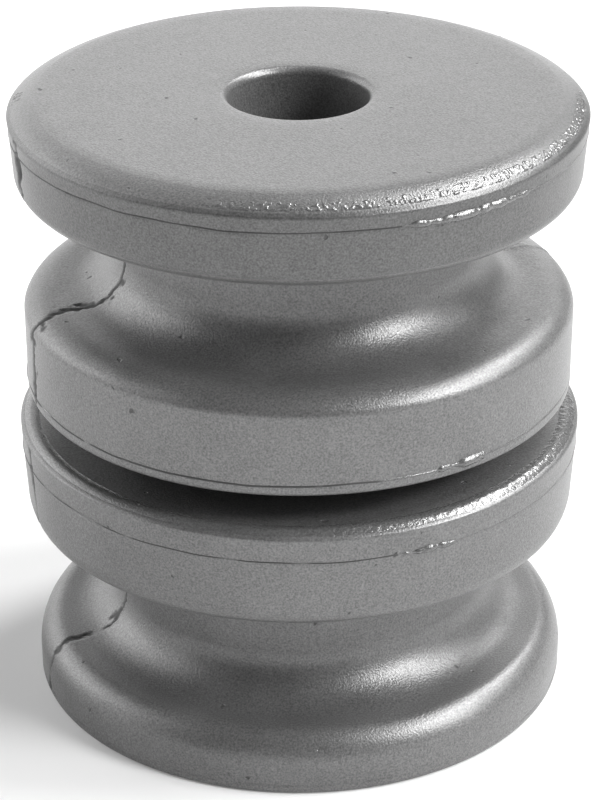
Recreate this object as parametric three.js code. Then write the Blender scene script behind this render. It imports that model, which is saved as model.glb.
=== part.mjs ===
// A two-groove fence insulator: two glazed porcelain bobbins stacked on one bore, with a rubber
// spacer washer between them. A fence wire is strained round the waist of each bobbin, and one
// bolt through the bore holds the stack to the post.
// Millimetres, +Z up along the bore, origin at the centre of the seat under the lower bobbin.
import * as THREE from "three";

// ---- Driving dimensions ----

const BORE_DIAMETER = 11; // clears a 10 mm bolt
const BORE_EDGE = 0.6; // rounding at both mouths of the bore
const BASE_EDGE = 0.4; // small rounding at the foot of a base flange

// Each bobbin is a cap flange above, a waist that carries the wire, and a base flange below.
// The lower bobbin comes from its own mould: a thicker cap, a wider groove and a thin round base.
const UPPER_BOBBIN = {
  capDiameter: 45,
  capThickness: 6.95,
  capDraft: 0.33, // radius lost down the wall of the cap
  capUndercut: 0.45, // how far the underside of the cap rises towards the waist
  capEdge: { width: 2.1, height: 1.1 },
  capHeel: { width: 1.9, height: 1.6 },
  grooveWidth: 8.75,
  waistDiameter: 28.5,
  baseDiameter: 43.7,
  baseThickness: 8,
  baseDraft: 0.2, // radius lost down the wall of the base
  baseShoulder: { width: 1.75, height: 1.05 },
};

const LOWER_BOBBIN = {
  capDiameter: 45.2,
  capThickness: 8.15,
  capDraft: 0.33,
  capUndercut: 0.45,
  capEdge: { width: 1.75, height: 0.5 },
  capHeel: { width: 0.85, height: 1.85 },
  grooveWidth: 10.5,
  waistDiameter: 30,
  baseDiameter: 43.6,
  baseThickness: 4.95,
  baseDraft: 0,
  baseShoulder: { width: 2.1, height: 2.85 },
};

const GROOVE_FILLET = 3.8; // where the waist runs into each flange

const WASHER_DIAMETER = 28;
const WASHER_THICKNESS = 2.6;
const WASHER_EDGE = 0.3; // bevel round the outside of the washer
const SEAT_GAP = 0.1; // glazed seats bed unevenly, so a little daylight is left at each one

// Smoothness of the turned surfaces.
const TURN_STEPS = 60;
const EDGE_STEPS = 2; // steps in the quarter turn of a broken edge
const ROUND_STEPS = 4; // steps in the quarter turn of a rounding
const FILLET_STEPS = 6; // steps in the quarter turn of a groove

// ---- Materials ----

const glaze = new THREE.MeshStandardMaterial({ color: 0x8e8e8e, roughness: 0.38, metalness: 0 });
const rubber = new THREE.MeshStandardMaterial({ color: 0x1c1c1c, roughness: 0.85, metalness: 0 });

// ---- Turning ----

// A quarter of an ellipse as profile points, from one angle in degrees to another.
function quarter(centreRadius, centreHeight, size, fromDegrees, toDegrees, steps) {
  const curve = new THREE.EllipseCurve(
    centreRadius,
    centreHeight,
    size.width,
    size.height,
    THREE.MathUtils.degToRad(fromDegrees),
    THREE.MathUtils.degToRad(toDegrees),
    toDegrees < fromDegrees,
  );
  return curve.getPoints(steps);
}

// A closed profile of (radius, height) points, turned about Z.
function turned(profile) {
  const closed = [...profile, profile[0].clone()];
  const geometry = new THREE.LatheGeometry(closed, TURN_STEPS);
  return geometry.rotateX(Math.PI / 2);
}

// ---- Bobbins ----

function bobbinHeight(bobbin) {
  return bobbin.baseThickness + bobbin.grooveWidth + bobbin.capThickness;
}

// The outline runs outwards under the base, up the outside, back over the cap and down the bore.
function bobbinProfile(bobbin) {
  const bore = BORE_DIAMETER / 2;
  const boreEdge = { width: BORE_EDGE, height: BORE_EDGE };
  const waist = bobbin.waistDiameter / 2;
  const base = bobbin.baseDiameter / 2;
  const baseFoot = base - bobbin.baseDraft;
  const baseEdge = { width: BASE_EDGE, height: BASE_EDGE };
  const baseTop = bobbin.baseThickness;
  const shoulder = bobbin.baseShoulder;
  const cap = bobbin.capDiameter / 2;
  const capLow = cap - bobbin.capDraft;
  const capBottom = baseTop + bobbin.grooveWidth;
  const grooveTop = capBottom + bobbin.capUndercut;
  const heel = bobbin.capHeel;
  const capEdge = bobbin.capEdge;
  const top = bobbinHeight(bobbin);
  const filletSize = Math.min(
    GROOVE_FILLET,
    (grooveTop - baseTop) / 2,
    base - shoulder.width - waist,
    capLow - heel.width - waist,
  );
  const fillet = { width: filletSize, height: filletSize };
  const filletRadius = waist + filletSize;

  return [
    ...quarter(baseFoot - BASE_EDGE, BASE_EDGE, baseEdge, -90, 0, EDGE_STEPS),
    ...quarter(base - shoulder.width, baseTop - shoulder.height, shoulder, 0, 90, FILLET_STEPS),
    ...quarter(filletRadius, baseTop + filletSize, fillet, 270, 180, FILLET_STEPS),
    ...quarter(filletRadius, grooveTop - filletSize, fillet, 180, 90, FILLET_STEPS),
    ...quarter(capLow - heel.width, capBottom + heel.height, heel, -90, 0, ROUND_STEPS),
    ...quarter(cap - capEdge.width, top - capEdge.height, capEdge, 0, 90, ROUND_STEPS),
    ...quarter(bore + BORE_EDGE, top - BORE_EDGE, boreEdge, 90, 180, EDGE_STEPS),
    ...quarter(bore + BORE_EDGE, BORE_EDGE, boreEdge, 180, 270, EDGE_STEPS),
  ];
}

function makeBobbin(name, bobbin, seatHeight) {
  const mesh = new THREE.Mesh(turned(bobbinProfile(bobbin)), glaze);
  mesh.name = name;
  mesh.position.z = seatHeight;
  return mesh;
}

// ---- Spacer washer ----

function washerProfile() {
  const inner = BORE_DIAMETER / 2;
  const outer = WASHER_DIAMETER / 2;
  const point = (radius, height) => new THREE.Vector2(radius, height);
  return [
    point(inner, 0),
    point(outer - WASHER_EDGE, 0),
    point(outer, WASHER_EDGE),
    point(outer, WASHER_THICKNESS - WASHER_EDGE),
    point(outer - WASHER_EDGE, WASHER_THICKNESS),
    point(inner, WASHER_THICKNESS),
  ];
}

function makeWasher(seatHeight) {
  const mesh = new THREE.Mesh(turned(washerProfile()), rubber);
  mesh.name = "spacer_washer";
  mesh.position.z = seatHeight;
  return mesh;
}

// ---- Assembly: lower bobbin, washer, upper bobbin, each resting on the one below ----

const washerSeat = bobbinHeight(LOWER_BOBBIN) + SEAT_GAP;
const upperSeat = washerSeat + WASHER_THICKNESS + SEAT_GAP;

const insulator = new THREE.Group();
insulator.add(makeBobbin("lower_bobbin", LOWER_BOBBIN, 0));
insulator.add(makeWasher(washerSeat));
insulator.add(makeBobbin("upper_bobbin", UPPER_BOBBIN, upperSeat));

export default insulator;
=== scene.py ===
import math

import bpy
import numpy as np
from mathutils import Matrix, Vector


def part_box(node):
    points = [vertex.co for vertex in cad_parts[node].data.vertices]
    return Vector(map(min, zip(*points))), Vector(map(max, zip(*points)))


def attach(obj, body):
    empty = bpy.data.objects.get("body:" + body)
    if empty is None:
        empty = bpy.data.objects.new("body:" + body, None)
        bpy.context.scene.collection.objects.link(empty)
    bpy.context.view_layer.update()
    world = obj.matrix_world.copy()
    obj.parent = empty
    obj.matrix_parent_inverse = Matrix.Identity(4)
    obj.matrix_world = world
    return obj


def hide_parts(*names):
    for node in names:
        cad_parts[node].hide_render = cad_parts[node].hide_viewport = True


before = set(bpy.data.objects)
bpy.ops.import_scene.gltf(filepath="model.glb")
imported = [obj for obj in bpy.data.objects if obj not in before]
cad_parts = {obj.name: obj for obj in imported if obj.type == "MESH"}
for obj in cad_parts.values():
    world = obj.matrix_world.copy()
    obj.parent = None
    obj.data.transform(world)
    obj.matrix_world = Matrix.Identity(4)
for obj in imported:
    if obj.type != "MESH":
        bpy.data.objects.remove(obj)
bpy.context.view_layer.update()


# ---- The view ----
# The insulator stands on a table and is seen from a little above, close enough for the far side
# of each flange to look narrower than the near one.

MM = 0.001

lower_low, lower_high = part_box("lower_bobbin")
upper_low, upper_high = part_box("upper_bobbin")

EYE_DISTANCE = 218.66 * MM  # from the middle of the top face
EYE_ELEVATION = math.radians(20.39)
EYE_ASIDE = -0.14 * MM
VIEW_PITCH = math.radians(26.62)  # how far the view points down
VIEW_ROLL = math.radians(-0.2)
LENS = 126.9

camera_data = bpy.data.cameras.new("camera")
camera_data.lens = LENS
camera_data.clip_start = 10 * MM
camera = bpy.data.objects.new("camera", camera_data)
bpy.context.scene.collection.objects.link(camera)
eye_back = math.cos(EYE_ELEVATION) * EYE_DISTANCE
eye_up = math.sin(EYE_ELEVATION) * EYE_DISTANCE
camera.location = (EYE_ASIDE, -eye_back, upper_high.z + eye_up)
tilt = Matrix.Rotation(math.pi / 2 - VIEW_PITCH, 3, "X")
roll = Matrix.Rotation(VIEW_ROLL, 3, "Z")
camera.rotation_euler = (tilt @ roll).to_euler()
bpy.context.scene.camera = camera
bpy.context.scene.view_settings.view_transform = "Standard"


# ---- Lower bobbin ----
# A reel of porcelain pressed in a two-part mould, dipped in grey glaze and fired standing on its
# foot. The fence wire is strained round its waist, and the bolt passes through its bore.

BORE_RADIUS = 5.5 * MM
BORE_EDGE = 0.6 * MM
FOOT_EDGE = 0.4 * MM
GROOVE_FILLET = 3.8 * MM  # where the waist runs into each flange
CAP_UNDERCUT = 0.45 * MM
HAIRLINE_WIDTH = 0.13 * MM  # half of the line that the mould's edge leaves round a wall
HAIRLINE_DEPTH = 0.07 * MM
PAINTED_HAIRLINE_SHADE = 0.22  # painted shade in the unfilled hairline grooves: how far their colour goes towards the dark unglazed body
SEAM_ANGLE = math.radians(199)  # the mould parts in one upright plane through the axis
SEAM_DEPTH = 0.1 * MM  # the near seam is a groove
FIN_HEIGHT = 0.05 * MM  # the far seam is a low fin
WAVE_HEIGHT = 0.1 * MM  # the skin isn't quite round
SKIN_RADIUS = 12 * MM  # nearer the bore than this the skin has no waves or seams
SEAT_CLEARANCE = 0.3 * MM  # nor this close to the seat under the bobbin
FAR = 1.0  # metres away: a mark that is put here doesn't show

OUTLINE_STEP = 0.28 * MM
ROUNDING_STEP = 0.17 * MM
PLAIN_STEP = 1.2 * MM  # in the bore and on the two flat seats
TURNS = 356
SEAM_CROWDING = 0.6  # how much closer together the steps are at the seams than elsewhere
MERGE_DISTANCE = 0.002 * MM

LOWER_SIZES = {
    "cap": lower_high.x - 0.03 * MM,  # leaves room for the waves
    "cap_thickness": 8.15 * MM,
    "cap_draft": 0.33 * MM,
    "cap_edge": (1.6 * MM, 0.5 * MM),
    "cap_bevel": 0.2,  # 0 is round, 1 is flat
    "cap_plain": 0.6 * MM,  # from the top face down, without waves or seams
    "roll": (0.05, 1.15, 0.24 * MM),  # from and to, as shares of the way over the edge, and swelling
    "cap_heel": (0.85 * MM, 1.85 * MM),
    "cap_hairline": 2.4 * MM,  # below the top face
    "waist": 15 * MM,
    "base": 21.8 * MM,
    "base_thickness": 4.95 * MM,
    "base_draft": 0,
    "base_shoulder": (2.1 * MM, 2.85 * MM),
    "base_hairline": 0.75 * MM,  # above the foot
}


class Wire:
    """An output socket of a node. Arithmetic on wires adds Math nodes to their tree."""

    def __init__(self, socket):
        self.socket = socket
        self.tree = socket.id_data

    def math(self, operation, *values):
        return add_node(self.tree, "ShaderNodeMath", {"operation": operation}, dict(enumerate(values)))

    def __add__(self, other):
        return self.math("ADD", self, other)

    def __radd__(self, other):
        return self.math("ADD", other, self)

    def __sub__(self, other):
        return self.math("SUBTRACT", self, other)

    def __rsub__(self, other):
        return self.math("SUBTRACT", other, self)

    def __mul__(self, other):
        return self.math("MULTIPLY", self, other)

    def __rmul__(self, other):
        return self.math("MULTIPLY", other, self)

    def __truediv__(self, other):
        return self.math("DIVIDE", self, other)

    def __rtruediv__(self, other):
        return self.math("DIVIDE", other, self)

    def __mod__(self, other):
        return self.math("MODULO", self, other)

    def __abs__(self):
        return self.math("ABSOLUTE", self)

    def __gt__(self, other):
        return self.math("GREATER_THAN", self, other)

    def __lt__(self, other):
        return self.math("LESS_THAN", self, other)


def add_node(tree, kind, settings=None, inputs=None, output=0):
    """Adds a node: its settings first, then the values or wires of its sockets."""
    node = tree.nodes.new(kind)
    for name, value in (settings or {}).items():
        setattr(node, name, value)
    for key, value in (inputs or {}).items():
        socket = find_socket(node.inputs, key)
        if isinstance(value, Wire):
            tree.links.new(value.socket, socket)
        else:
            socket.default_value = value
    return Wire(find_socket(node.outputs, output)) if len(node.outputs) else None


def find_socket(sockets, key):
    """A socket by its place, its identifier or its name."""
    if isinstance(key, int):
        return sockets[key]
    by_identifier = {socket.identifier: socket for socket in sockets}
    return by_identifier.get(key) or sockets[key]


def soft_step(value, low, high):
    """0 below low, 1 above high, and a soft run between them."""
    settings = {"interpolation_type": "SMOOTHSTEP"}
    return add_node(value.tree, "ShaderNodeMapRange", settings, {0: value, 1: low, 2: high})


def split(vector):
    """The x, y and z wires of a vector wire."""
    first = add_node(vector.tree, "ShaderNodeSeparateXYZ", None, {0: vector})
    return [Wire(socket) for socket in first.socket.node.outputs]


def join(x, y, z):
    """A vector wire. At least z has to be a wire."""
    return add_node(z.tree, "ShaderNodeCombineXYZ", None, {0: x, 1: y, 2: z})


def vector_math(operation, first, second):
    return add_node(first.tree, "ShaderNodeVectorMath", {"operation": operation}, {0: first, 1: second})


def vector_scale(vector, amount):
    settings = {"operation": "SCALE"}
    return add_node(vector.tree, "ShaderNodeVectorMath", settings, {0: vector, "Scale": amount})


def vector_length(vector):
    return add_node(vector.tree, "ShaderNodeVectorMath", {"operation": "LENGTH"}, {0: vector}, "Value")


def noise(place, grain, shift=0.0, detail=2.0):
    """Noise from 0 to 1 with lumps about grain metres across. Each shift gives another pattern."""
    moved = vector_math("ADD", place, (shift, shift, shift))
    inputs = {"Vector": moved, "Scale": 1 / grain, "Detail": detail}
    return add_node(place.tree, "ShaderNodeTexNoise", None, inputs)


def open_tree(name, sockets):
    """A geometry tree with named inputs, and the wire of each."""
    tree = bpy.data.node_groups.new(name, "GeometryNodeTree")
    for label, kind in sockets.items():
        tree.interface.new_socket(name=label, in_out="INPUT", socket_type="NodeSocket" + kind)
    tree.interface.new_socket(name="Result", in_out="OUTPUT", socket_type="NodeSocketGeometry")
    source = tree.nodes.new("NodeGroupInput")
    return tree, {label: Wire(source.outputs[label]) for label in sockets}


def close_tree(tree, geometry, material):
    """Ends a tree in plain geometry of one material."""
    plain = add_node(tree, "GeometryNodeRealizeInstances", None, {"Geometry": geometry})
    smooth = add_node(tree, "GeometryNodeSetShadeSmooth", None, {"Geometry": plain})
    inputs = {"Geometry": smooth, "Material": material}
    finished = add_node(tree, "GeometryNodeSetMaterial", None, inputs)
    result = tree.nodes.new("NodeGroupOutput")
    tree.links.new(finished.socket, result.inputs["Result"])


def grow(name, mesh, tree, values):
    """Runs a mesh through a tree and keeps the result as a plain piece."""
    piece = bpy.data.objects.new(name, mesh)
    bpy.context.scene.collection.objects.link(piece)
    modifier = piece.modifiers.new("shape", "NODES")
    modifier.node_group = tree
    for item in tree.interface.items_tree:
        if item.item_type == "SOCKET" and item.name in values:
            modifier[item.identifier] = values[item.name]
    depsgraph = bpy.context.evaluated_depsgraph_get()
    plain = bpy.data.meshes.new_from_object(piece.evaluated_get(depsgraph))
    piece.modifiers.clear()
    piece.data = plain
    return piece


def turning_tree():
    """Sweeps an outline round Z, then lets in the mould seams, a chip and crinkles."""
    tree, given = open_tree("turned porcelain", {
        "Outline": "Geometry",
        "Turns": "Int",
        "Seam Angle": "Float",
        "Seam Crowding": "Float",
        "Seam Depth": "Float",
        "Seam Width": "Float",
        "Fin Height": "Float",
        "Skin Radius": "Float",
        "Skin Foot": "Float",
        "Skin Top": "Float",
        "Wave Height": "Float",
        "Cap Hairline": "Float",
        "Base Hairline": "Float",
        "Chip": "Vector",
        "Chip Depth": "Float",
        "Crinkle Height": "Float",
        "Crinkle Grain": "Float",
        "Crinkle Cover": "Float",
        "Patch Angle": "Float",
        "Patch Reach": "Float",
        "Seed": "Float",
        "Material": "Material",
    })
    swept = sweep(tree, given)
    place = add_node(tree, "GeometryNodeInputPosition")
    normal = add_node(tree, "GeometryNodeInputNormal")
    x, y, z = split(place)
    square = x * x + y * y
    radius = square.math("SQRT", square)
    seeded = vector_math("ADD", place, join(given["Seed"], given["Seed"], given["Seed"]))

    skin = (radius > given["Skin Radius"]) * (z > given["Skin Foot"]) * (z < given["Skin Top"])
    seam = seam_line(given, seeded, x, y) * skin
    near = cosine_to(given["Seam Angle"], x, y) > 0
    chip = chip_mark(given, place, seeded)
    line, filled = hairlines(given, seeded, z)
    # Painted shade: a hairline groove that glaze hasn't filled is darkened, as the shade in it; the
    # seams and the chip are real unglazed body.
    painted_shade_in_hairlines = line * (1 - filled) * PAINTED_HAIRLINE_SHADE * skin
    numbers = {"data_type": "FLOAT", "domain": "POINT"}
    marked = add_node(tree, "GeometryNodeStoreNamedAttribute", numbers, {
        "Geometry": swept,
        "Name": "bare",
        "Value": seam.math("MAXIMUM", seam * near, chip) + painted_shade_in_hairlines,
    })

    waves = (noise(seeded, 9 * MM, 0.1) - 0.5) * given["Wave Height"] * skin
    crinkle = crinkles(given, seeded, x, y, radius)
    seam_height = seam * (given["Fin Height"] - near * (given["Fin Height"] + given["Seam Depth"]))
    filling = line * filled * HAIRLINE_DEPTH
    height = waves + filling + crinkle + seam_height - chip * given["Chip Depth"]
    sway = join(0, 0, hairline_sway(given, seeded, z) * skin)
    offset = vector_math("ADD", vector_scale(normal, height), sway)
    inputs = {"Geometry": marked, "Offset": offset}
    shaped = add_node(tree, "GeometryNodeSetPosition", None, inputs)
    close_tree(tree, shaped, given["Material"])
    return tree


def sweep(tree, given):
    """A closed skin: a column of the grid for each step of the turn, a row for each outline point."""
    outline = {0: given["Outline"]}
    mesh_only = {"component": "MESH"}
    size = add_node(tree, "GeometryNodeAttributeDomainSize", mesh_only, outline, "Point Count")
    grid = add_node(tree, "GeometryNodeMeshGrid", None, {
        "Size X": 1.0,
        "Size Y": 1.0,
        "Vertices X": given["Turns"] + 1,
        "Vertices Y": size + 1,
    }, "Mesh")
    place = add_node(tree, "GeometryNodeInputPosition")
    across, along, _ = split(place)
    turn = (across + 0.5) * math.tau
    crowded = turn - given["Seam Crowding"] * 0.5 * turn.math("SINE", turn * 2)
    angle = crowded + given["Seam Angle"]
    row_place = (along + 0.5) * size
    row = row_place.math("ROUND", row_place) % size
    vectors = {"data_type": "FLOAT_VECTOR", "domain": "POINT"}
    sampled = add_node(tree, "GeometryNodeSampleIndex", vectors, {
        "Geometry": given["Outline"],
        "Value": place,
        "Index": row,
    })
    out, _, up = split(sampled)
    swung = join(out * angle.math("COSINE", angle), out * angle.math("SINE", angle), up)
    placed = add_node(tree, "GeometryNodeSetPosition", None, {"Geometry": grid, "Position": swung})
    inputs = {"Geometry": placed, "Distance": MERGE_DISTANCE}
    return add_node(tree, "GeometryNodeMergeByDistance", None, inputs)


def cosine_to(angle, x, y):
    """How far a point lies towards an angle round Z."""
    return x * angle.math("COSINE", angle) + y * angle.math("SINE", angle)


def seam_line(given, place, x, y):
    """1 along the two mould seams: a thin wandering line with blobs, lost here and there."""
    angle = given["Seam Angle"]
    long_wander = (noise(place, 3 * MM, 0.2) - 0.5) * 1.2 * MM
    short_wander = (noise(place, 0.5 * MM, 0.3) - 0.5) * 0.8 * MM
    straight = y * angle.math("COSINE", angle) - x * angle.math("SINE", angle)
    across = abs(straight + (long_wander + short_wander))
    blob = soft_step(noise(place, 1.5 * MM, 0.4), 0.56, 0.72)
    width = given["Seam Width"] * (0.9 + blob * 4)
    kept = soft_step(noise(place, 4 * MM, 0.5), 0.34, 0.46)
    return (1 - soft_step(across, width * 0.4, width * 1.3)) * kept


def chip_mark(given, place, seeded):
    """1 inside a shell-shaped chip, which is taller than it is wide."""
    apart = vector_math("SUBTRACT", place, given["Chip"])
    squeezed = vector_math("MULTIPLY", apart, (1.0, 1.0, 0.8))
    ragged = (noise(seeded, 0.8 * MM, 0.6) - 0.5) * 0.7 * MM
    return 1 - soft_step(vector_length(squeezed) + ragged, 0.7 * MM, 1.1 * MM)


def hairlines(given, place, z):
    """1 on the two hairlines, and 1 where glaze has filled them."""
    near_cap = 1 - soft_step(abs(z - given["Cap Hairline"]), 0.02 * MM, HAIRLINE_WIDTH)
    near_base = 1 - soft_step(abs(z - given["Base Hairline"]), 0.02 * MM, HAIRLINE_WIDTH)
    return near_cap + near_base, soft_step(noise(place, 5 * MM, 0.7), 0.38, 0.54)


def hairline_sway(given, place, z):
    """How far the hairlines stray up or down as they go round."""
    near_cap = 1 - soft_step(abs(z - given["Cap Hairline"]), 0.1 * MM, 0.9 * MM)
    stray = noise(place, 7 * MM, 0.8) - 0.5
    return near_cap * stray * 0.4 * MM


def crinkles(given, place, x, y, radius):
    """Frozen ripples of thick glaze, in patches and along one stretch."""
    facing = cosine_to(given["Patch Angle"], x, y) / radius
    edge = facing.math("COSINE", given["Patch Reach"])
    stretch = soft_step(facing, edge, edge * 0.7 + 0.3)
    cover = 1 - given["Crinkle Cover"]
    patch = soft_step(noise(place, 4 * MM, 0.9), cover, cover + 0.12)
    ripple = soft_step(noise(place, given["Crinkle Grain"]), 0.36, 0.66)
    return ripple * stretch.math("MAXIMUM", stretch, patch) * given["Crinkle Height"]


def quarter(centre, size, start, end, step=ROUNDING_STEP):
    """Points of a quarter ellipse round centre, between two angles in degrees."""
    count = max(3, round(math.pi / 4 * (size[0] + size[1]) / step))
    angles = np.radians(np.linspace(start, end, count + 1))
    return [(centre[0] + size[0] * math.cos(a), centre[1] + size[1] * math.sin(a)) for a in angles]


def bevelled(centre, size, share):
    """A quarter ellipse drawn part of the way towards its chord, which makes it nearer a bevel."""
    round_points = quarter(centre, size, 0, 90)
    ends = (centre[0] + size[0], centre[1]), (centre[0], centre[1] + size[1])
    flat = np.linspace(*ends, len(round_points))
    return [tuple(point) for point in np.array(round_points) * (1 - share) + flat * share]


def notch(low, high, height):
    """Three points that let a hairline into the straight wall from low to high."""
    points = []
    for rise, depth in [(-HAIRLINE_WIDTH, 0), (0, HAIRLINE_DEPTH), (HAIRLINE_WIDTH, 0)]:
        z = height + rise
        share = (z - low[1]) / (high[1] - low[1])
        points.append((low[0] + (high[0] - low[0]) * share - depth, z))
    return points


def bobbin_outline(sizes, foot, top):
    """Outwards under the foot, up the outside, back over the cap and down the bore."""
    base = sizes["base"]
    base_low = base - sizes["base_draft"]
    base_top = foot + sizes["base_thickness"]
    shoulder = sizes["base_shoulder"]
    cap = sizes["cap"]
    cap_low = cap - sizes["cap_draft"]
    cap_bottom = top - sizes["cap_thickness"]
    heel = sizes["cap_heel"]
    edge = sizes["cap_edge"]
    groove_top = cap_bottom + CAP_UNDERCUT
    fillet = (GROOVE_FILLET, GROOVE_FILLET)
    fillet_centre = sizes["waist"] + GROOVE_FILLET
    bore_edge = (BORE_EDGE, BORE_EDGE)
    bore_centre = BORE_RADIUS + BORE_EDGE

    outline = quarter((base_low - FOOT_EDGE, foot + FOOT_EDGE), (FOOT_EDGE, FOOT_EDGE), -90, 0)
    outline += notch((base_low, foot), (base, base_top), foot + sizes["base_hairline"])
    outline += quarter((base - shoulder[0], base_top - shoulder[1]), shoulder, 0, 90)
    outline += quarter((fillet_centre, base_top + GROOVE_FILLET), fillet, 270, 180, OUTLINE_STEP)
    outline += quarter((fillet_centre, groove_top - GROOVE_FILLET), fillet, 180, 90, OUTLINE_STEP)
    outline += quarter((cap_low - heel[0], cap_bottom + heel[1]), heel, -90, 0)
    outline += notch((cap_low, cap_bottom), (cap, top), top - sizes["cap_hairline"])
    outline += bevelled((cap - edge[0], top - edge[1]), edge, sizes["cap_bevel"])
    outline += quarter((bore_centre, top - BORE_EDGE), bore_edge, 90, 180)
    outline += quarter((bore_centre, foot + BORE_EDGE), bore_edge, 180, 270)
    return spaced(outline, (foot, top))


def spaced(outline, seats):
    """The outline with points added along its straight runs, fewer in the bore and on the seats."""
    points = []
    for start, end in zip(outline, outline[1:] + outline[:1]):
        in_bore = max(start[0], end[0]) < BORE_RADIUS + BORE_EDGE / 2
        on_seat = any(max(abs(start[1] - z), abs(end[1] - z)) < 0.01 * MM for z in seats)
        step = PLAIN_STEP if in_bore or on_seat else OUTLINE_STEP
        count = max(1, math.ceil(math.dist(start, end) / step))
        points += [tuple(np.add(start, np.subtract(end, start) * k / count)) for k in range(count)]
    return points


def outline_mesh(name, points):
    """An outline as a loose closed line: x out from the axis, z up."""
    count = len(points)
    edges = [(i, (i + 1) % count) for i in range(count)]
    mesh = bpy.data.meshes.new(name)
    mesh.from_pydata([(radius, 0, height) for radius, height in points], edges, [])
    return mesh


def new_material(name):
    material = bpy.data.materials.new(name)
    material.use_nodes = True
    material.node_tree.nodes.clear()
    return material, material.node_tree


def grey(tone):
    return add_node(tone.tree, "ShaderNodeCombineColor", None, {0: tone, 1: tone, 2: tone})


# The mark of unglazed body at the seams and the chip, and of painted shade in the hairline grooves.
def bare_and_shade_mark(tree):
    return add_node(tree, "ShaderNodeAttribute", {"attribute_name": "bare"}, None, "Fac")


GLAZE_TONE = 0.157
GLAZE_SHEEN = 0.45  # how metallic the glaze looks
GLAZE_ROUGHNESS = 0.37
# The unglazed body's tone and sheen, also given to the painted shade in the hairline grooves.
BARE_AND_SHADE_TONE = 0.045
BARE_AND_SHADE_SHEEN = 0.05
# Painted shade on the upper cap's outer wall: where it starts, and how much darker it makes the glaze.
PAINTED_SHADE_RADIUS = 21.2 * MM  # the painted shade on the cap wall starts here
PAINTED_SHADE_AMOUNT = 0.26


def glaze_material(name, shift, roughness, painted_shade_wall=(1.0, 1.0)):
    """Grey glaze: a faint cloudiness, a fine grain, and dark body where the glaze is missing, with
    painted shade in the unfilled hairline grooves.

    Between the two heights given for the wall, the skin beyond a radius is darkened: painted shade on
    the outer wall.
    """
    material, tree = new_material(name)
    place = add_node(tree, "ShaderNodeTexCoord", None, None, "Object")
    grain = noise(place, 0.15 * MM, shift, 2.0)
    cloud = noise(place, 4 * MM, shift + 1.0, 3.0)
    pits = soft_step(noise(place, 1.1 * MM, shift + 2.0, 1.0), 0.76, 0.8)
    bare = bare_and_shade_mark(tree)
    bare_body_and_shade = bare.math("MAXIMUM", bare, pits * 0.7)
    glaze = GLAZE_TONE + (cloud - 0.5) * 0.05 + (grain - 0.5) * 0.24
    x, y, z = split(place)
    # Painted shade: the outer wall is darkened between the two given heights.
    painted_shade_skin = soft_step(x * x + y * y, PAINTED_SHADE_RADIUS ** 2, (PAINTED_SHADE_RADIUS + MM) ** 2)
    shade = 1 - painted_shade_skin * (z > painted_shade_wall[0]) * (z < painted_shade_wall[1]) * PAINTED_SHADE_AMOUNT
    tone = glaze * shade * (1 - bare_body_and_shade) + bare_body_and_shade * BARE_AND_SHADE_TONE
    relief = {"Strength": 1.0, "Distance": 0.03 * MM, "Height": grain - pits * 2.0}
    bump = add_node(tree, "ShaderNodeBump", None, relief)
    shader = add_node(tree, "ShaderNodeBsdfPrincipled", None, {
        "Base Color": grey(tone),
        "Metallic": GLAZE_SHEEN - bare_body_and_shade * (GLAZE_SHEEN - BARE_AND_SHADE_SHEEN),
        "Roughness": roughness + (cloud - 0.5) * 0.06 + bare_body_and_shade * 0.3,
        "Normal": bump,
    })
    add_node(tree, "ShaderNodeOutputMaterial", None, {"Surface": shader})
    return material


turning = turning_tree()


def fired_bobbin(name, sizes, low, high, marks):
    """A bobbin between two seats. The marks are what it alone has: seam width, chip, seed, glaze."""
    outline = outline_mesh(name + " outline", bobbin_outline(sizes, low.z, high.z))
    return grow(name, outline, turning, {
        "Turns": TURNS,
        "Seam Angle": SEAM_ANGLE,
        "Seam Crowding": SEAM_CROWDING,
        "Seam Depth": SEAM_DEPTH,
        "Fin Height": FIN_HEIGHT,
        "Skin Radius": SKIN_RADIUS,
        "Skin Foot": low.z + SEAT_CLEARANCE,
        "Skin Top": high.z - sizes["cap_plain"],
        "Wave Height": WAVE_HEIGHT,
        "Cap Hairline": high.z - sizes["cap_hairline"],
        "Base Hairline": low.z + sizes["base_hairline"],
        **marks,
    })


LOWER_SEED = 0.37

lower_bobbin = fired_bobbin("lower_bobbin_glazed", LOWER_SIZES, lower_low, lower_high, {
    "Seam Width": 0.22 * MM,
    "Chip": (0, 0, FAR),
    "Seed": LOWER_SEED,
    "Material": glaze_material("lower_grey_glaze", 0.0, GLAZE_ROUGHNESS),
})
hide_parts("lower_bobbin")
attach(lower_bobbin, "lower")


# ---- Glaze roll on the lower cap ----
# The glaze gathers along the edge of the cap while it is molten, and freezes there in a smooth
# swollen roll all the way round, with fine crinkles in it.

EDGE_ENDS = (16, 78)  # degrees up the ellipse of the cap's edge
ROLL_SINK = 0.04 * MM
ROLL_DEPTH = 0.5 * MM  # how far the closed back of the roll lies inside the cap
ROLL_STEP = 0.07 * MM
ROLL_TURNS = 1700
CRINKLE_MIDDLE = math.radians(-52)  # the crinkles are strongest on this side
CRINKLE_REACH = math.radians(60)
THICK_ROUGHNESS = 0.24


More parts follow.
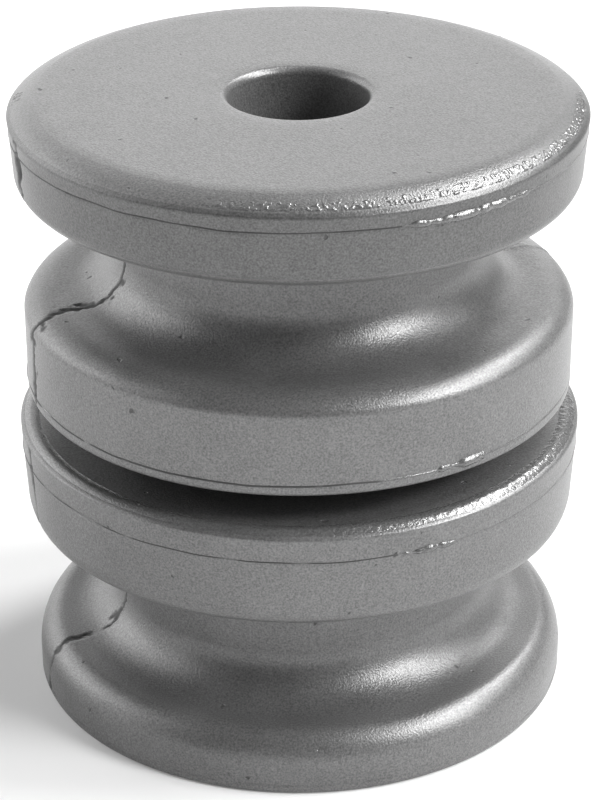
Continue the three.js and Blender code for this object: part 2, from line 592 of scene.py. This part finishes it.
def roll_outline(sizes, top):
    """A strip along the edge of a cap, swollen up between its ends and closed inside the cap."""
    edge = sizes["cap_edge"]
    centre = (sizes["cap"] - edge[0], top - edge[1])
    low, high = (np.array(quarter(centre, edge, angle, angle)[0]) for angle in EDGE_ENDS)
    start, end, swelling = sizes["roll"]
    count = math.ceil(math.dist(low, high) * (end - start) / ROLL_STEP)
    strip = []
    for share in np.linspace(start, end, count):
        swell = math.sin(math.pi * (share - start) / (end - start)) * swelling
        strip.append(low + (high - low) * share - ROLL_SINK + (0, swell))
    inner = [point - (ROLL_DEPTH, ROLL_DEPTH / 2) for point in (strip[-1], strip[0])]
    return [tuple(point) for point in strip + inner]


def glaze_roll(name, sizes, top, seed, crinkle, body):
    """The roll of one cap. A crinkle is its height, its grain and how much of the roll it covers."""
    roll = grow(name, outline_mesh(name + " outline", roll_outline(sizes, top)), turning, {
        "Turns": ROLL_TURNS,
        "Skin Radius": FAR,
        "Cap Hairline": FAR,
        "Base Hairline": FAR,
        "Chip": (0, 0, FAR),
        "Crinkle Height": crinkle[0],
        "Crinkle Grain": crinkle[1],
        "Crinkle Cover": crinkle[2],
        "Patch Angle": CRINKLE_MIDDLE,
        "Patch Reach": CRINKLE_REACH,
        "Seed": seed,
        "Material": thick_glaze,
    })
    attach(roll, body)


thick_glaze = glaze_material("thick_grey_glaze", 3.0, THICK_ROUGHNESS)
lower_top = lower_high.z
lower_crinkle = (0.028 * MM, 0.4 * MM, 0.35)
roll_seed = 0.11
glaze_roll("lower_glaze_roll", LOWER_SIZES, lower_top, roll_seed, lower_crinkle, "lower")


# ---- Spacer washer ----
# A ring cut from black rubber sheet, which keeps porcelain off porcelain. It lies loose round the
# bolt between the two bobbins, and the bolt clamps it there.

def rubber_material():
    material, tree = new_material("black_rubber")
    place = add_node(tree, "ShaderNodeTexCoord", None, None, "Object")
    grain = noise(place, 0.3 * MM, 0.0, 4.0)
    relief = {"Strength": 0.5, "Distance": 0.05 * MM, "Height": grain}
    bump = add_node(tree, "ShaderNodeBump", None, relief)
    shader = add_node(tree, "ShaderNodeBsdfPrincipled", None, {
        "Base Color": grey(0.018 + grain * 0.02),
        "Roughness": 0.75 + grain * 0.2,
        "Normal": bump,
    })
    add_node(tree, "ShaderNodeOutputMaterial", None, {"Surface": shader})
    return material


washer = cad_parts["spacer_washer"]
washer.data.materials.clear()
washer.data.materials.append(rubber_material())


# ---- Upper bobbin ----
# Pressed in a mould of its own: its base flange is thicker and squarer than the lower one's. A
# chip is out of the rim of its cap, where the mould seam crosses it.

UPPER_SIZES = {
    "cap": upper_high.x,
    "cap_thickness": 6.95 * MM,
    "cap_draft": 0.33 * MM,
    "cap_edge": (2.1 * MM, 1.1 * MM),
    "cap_bevel": 0.5,
    "cap_plain": 1.2 * MM,
    "roll": (0.22, 0.64, 0),
    "cap_heel": (1.9 * MM, 1.6 * MM),
    "cap_hairline": 2.25 * MM,
    "waist": 14.25 * MM,
    "base": 21.85 * MM,
    "base_thickness": 8 * MM,
    "base_draft": 0.03 * MM,
    "base_shoulder": (2.7 * MM, 1.6 * MM),
    "base_hairline": 0.9 * MM,
}

UPPER_SEED = 0.74
CHIP_BELOW_TOP = 3.2 * MM
# Painted shade on the upper cap's outer wall, from 6 mm to 0.8 mm below its top.
painted_shade_cap_wall = (upper_high.z - 6 * MM, upper_high.z - 0.8 * MM)

upper_bobbin = fired_bobbin("upper_bobbin_glazed", UPPER_SIZES, upper_low, upper_high, {
    "Seam Width": 0.28 * MM,
    "Chip": (
        math.cos(SEAM_ANGLE) * UPPER_SIZES["cap"],
        math.sin(SEAM_ANGLE) * UPPER_SIZES["cap"],
        upper_high.z - CHIP_BELOW_TOP,
    ),
    "Chip Depth": 0.22 * MM,
    "Seed": UPPER_SEED,
    "Material": glaze_material("upper_grey_glaze", 5.0, GLAZE_ROUGHNESS, painted_shade_cap_wall),
})
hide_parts("upper_bobbin")
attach(upper_bobbin, "upper")


# ---- Glaze roll on the upper cap ----
# The same glaze lies flatter on the edge of the upper cap. It froze in coarser crinkles, which
# leave a rough bright band just inside the rim.

upper_top = upper_high.z
upper_crinkle = (0.09 * MM, 0.3 * MM, 0.45)
roll_seed = 0.53
glaze_roll("upper_glaze_roll", UPPER_SIZES, upper_top, roll_seed, upper_crinkle, "upper")


# ---- Glaze beads ----
# Glaze that ran along the hairlines of both bobbins and froze there in short bright threads, the
# longest of them on the right of the upper cap.

# How deep each corner of a bead lies inside the wall, and how far above the hairline, in mm.
BEAD_FRONT = [(0.16, -0.14), (0.06, -0.1), (0.02, 0), (0.06, 0.1), (0.16, 0.14)]
BEAD_BACK = [(0.5, 0.14), (0.5, -0.14)]


def glaze_bead(name, wall, line, seed, patch, body):
    """A thread of glaze round a wall at one height, raised along a patch (angle and reach)."""
    outline = [(wall - depth * MM, line + rise * MM) for depth, rise in BEAD_FRONT + BEAD_BACK]
    bead = grow(name, outline_mesh(name + " outline", outline), turning, {
        "Turns": ROLL_TURNS,
        "Seam Angle": SEAM_ANGLE,
        "Skin Radius": SKIN_RADIUS,
        "Skin Top": FAR,
        "Wave Height": WAVE_HEIGHT,
        "Cap Hairline": line,
        "Base Hairline": FAR,
        "Chip": (0, 0, FAR),
        "Crinkle Height": 0.28 * MM,
        "Crinkle Grain": 2 * MM,
        "Crinkle Cover": 0.3,
        "Patch Angle": math.radians(patch[0]),
        "Patch Reach": math.radians(patch[1]),
        "Seed": seed,
        "Material": thick_glaze,
    })
    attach(bead, body)


def cap_wall(sizes):
    """The radius of a cap's wall at its hairline."""
    return sizes["cap"] - sizes["cap_draft"] * sizes["cap_hairline"] / sizes["cap_thickness"]


upper_line = upper_high.z - UPPER_SIZES["cap_hairline"]
lower_line = lower_high.z - LOWER_SIZES["cap_hairline"]
lip_line = upper_low.z + UPPER_SIZES["base_hairline"]
upper_wall = cap_wall(UPPER_SIZES)
lower_wall = cap_wall(LOWER_SIZES)
lip_wall = UPPER_SIZES["base"]
glaze_bead("upper_glaze_bead", upper_wall, upper_line, UPPER_SEED, (-55, 15), "upper")
glaze_bead("upper_lip_bead", lip_wall, lip_line, UPPER_SEED, (-56, 6), "upper")
glaze_bead("lower_glaze_bead", lower_wall, lower_line, LOWER_SEED, (-63, 7), "lower")


# ---- Specks on the glaze ----
# Grit that settled on both bobbins in the kiln and was glazed over, and small blisters in the
# glaze itself. They are strewn thinly over every face but the bore and the seats.

SPECK_RADIUS = 0.075 * MM
SPECK_DENSITY = 9000.0  # to the square metre
SPECK_SINK = 0.6  # share of its radius that a speck lies below the skin
SPECK_CLEARANCE = 0.5 * MM  # from the seats
SPECK_INSIDE = 10 * MM  # none lie nearer the axis
UPPER_SPECK_SEED = 4
LOWER_SPECK_SEED = 9


def speck_tree():
    tree, given = open_tree("kiln specks", {
        "Body": "Object",
        "Low": "Float",
        "High": "Float",
        "Inside": "Float",
        "Density": "Float",
        "Speck Radius": "Float",
        "Seed": "Int",
        "Material": "Material",
    })
    body = add_node(tree, "GeometryNodeObjectInfo", None, {"Object": given["Body"]}, "Geometry")
    x, y, z = split(add_node(tree, "GeometryNodeInputPosition"))
    outside = x * x + y * y > given["Inside"] * given["Inside"]
    points = add_node(tree, "GeometryNodeDistributePointsOnFaces", None, {
        "Mesh": body,
        "Selection": (z > given["Low"]) * (z < given["High"]) * outside,
        "Density": given["Density"],
        "Seed": given["Seed"],
    })
    normal = Wire(points.socket.node.outputs["Normal"])
    sink = vector_scale(normal, given["Speck Radius"] * -SPECK_SINK)
    sunk = add_node(tree, "GeometryNodeSetPosition", None, {"Geometry": points, "Offset": sink})
    ball = {"Radius": given["Speck Radius"], "Subdivisions": 2}
    speck = add_node(tree, "GeometryNodeMeshIcoSphere", None, ball)
    size = add_node(tree, "FunctionNodeRandomValue", {"data_type": "FLOAT"}, {
        "Min_001": 0.35,
        "Max_001": 1.0,
        "Seed": given["Seed"],
    }, "Value_001")
    strewn = add_node(tree, "GeometryNodeInstanceOnPoints", None, {
        "Points": sunk,
        "Instance": speck,
        "Scale": join(size, size, size),
    })
    close_tree(tree, strewn, given["Material"])
    return tree


specks = speck_tree()


def strew(name, bobbin, low, high, seed, body):
    piece = grow(name, bpy.data.meshes.new(name + " start"), specks, {
        "Body": bobbin,
        "Low": low.z + SPECK_CLEARANCE,
        "High": high.z - SPECK_CLEARANCE,
        "Inside": SPECK_INSIDE,
        "Density": SPECK_DENSITY,
        "Speck Radius": SPECK_RADIUS,
        "Seed": seed,
        "Material": thick_glaze,
    })
    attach(piece, body)


strew("upper_kiln_specks", upper_bobbin, upper_low, upper_high, UPPER_SPECK_SEED, "upper")
strew("lower_kiln_specks", lower_bobbin, lower_low, lower_high, LOWER_SPECK_SEED, "lower")


# ---- Table and light ----
# A white table that glows a little from below, with soft lamps at both sides and behind, the
# stronger ones on the right, and nothing bright behind the viewer.

FLOOR_HALF = 3.0  # metres each way from the insulator
FLOOR_COLOUR = (0.7, 0.7, 0.7, 1)
FLOOR_GLOW = 0.14

floor_mesh = bpy.data.meshes.new("floor")
corner_signs = [(-1, -1), (1, -1), (1, 1), (-1, 1)]
floor_corners = [(x * FLOOR_HALF, y * FLOOR_HALF, lower_low.z) for x, y in corner_signs]
floor_mesh.from_pydata(floor_corners, [], [(0, 1, 2, 3)])
floor = bpy.data.objects.new("floor", floor_mesh)
bpy.context.scene.collection.objects.link(floor)
floor_material, floor_tree = new_material("white_table")
floor_shader = add_node(floor_tree, "ShaderNodeBsdfPrincipled", None, {
    "Base Color": FLOOR_COLOUR,
    "Roughness": 1.0,
    "Specular IOR Level": 0.0,
    "Emission Color": (1, 1, 1, 1),
    "Emission Strength": FLOOR_GLOW,
})
add_node(floor_tree, "ShaderNodeOutputMaterial", None, {"Surface": floor_shader})
floor_mesh.materials.append(floor_material)

LAMPS = [
    # Angle round to the right from the viewer, elevation and width in degrees, and strength.
    # An upright window on the right:
    (64, 24, 16, 0.7),
    (64, 38, 16, 2.0),
    (78, 38, 16, 0.6),
    # Two high lamps on the right, which draw the streaks on the shoulders:
    (95, 50, 18, 2.0),
    (134, 52, 18, 2.6),
    # Broad, weak walls of the tent behind the table and on the left:
    (180, 8, 40, 0.75),
    (210, 35, 34, 0.3),
    (225, 8, 50, 1.0),
    (245, 24, 40, 0.75),
    (270, 8, 50, 0.7),
    (270, 35, 40, 0.4),
]
SKY_STRENGTH = 0.05


def soft_sun(azimuth, elevation, width, strength):
    data = bpy.data.lights.new("soft_lamp", "SUN")
    data.energy = strength
    data.angle = math.radians(width)
    lamp = bpy.data.objects.new("soft_lamp", data)
    bpy.context.scene.collection.objects.link(lamp)
    turn, rise = math.radians(azimuth), math.radians(elevation)
    aim = Vector((math.sin(turn) * math.cos(rise), -math.cos(turn) * math.cos(rise), math.sin(rise)))
    lamp.rotation_euler = aim.to_track_quat("Z", "Y").to_euler()


for lamp in LAMPS:
    soft_sun(*lamp)

world = bpy.data.worlds.new("world")
world.use_nodes = True
sky = world.node_tree.nodes["Background"]
sky.inputs["Color"].default_value = (1, 1, 1, 1)
sky.inputs["Strength"].default_value = SKY_STRENGTH
bpy.context.scene.world = world
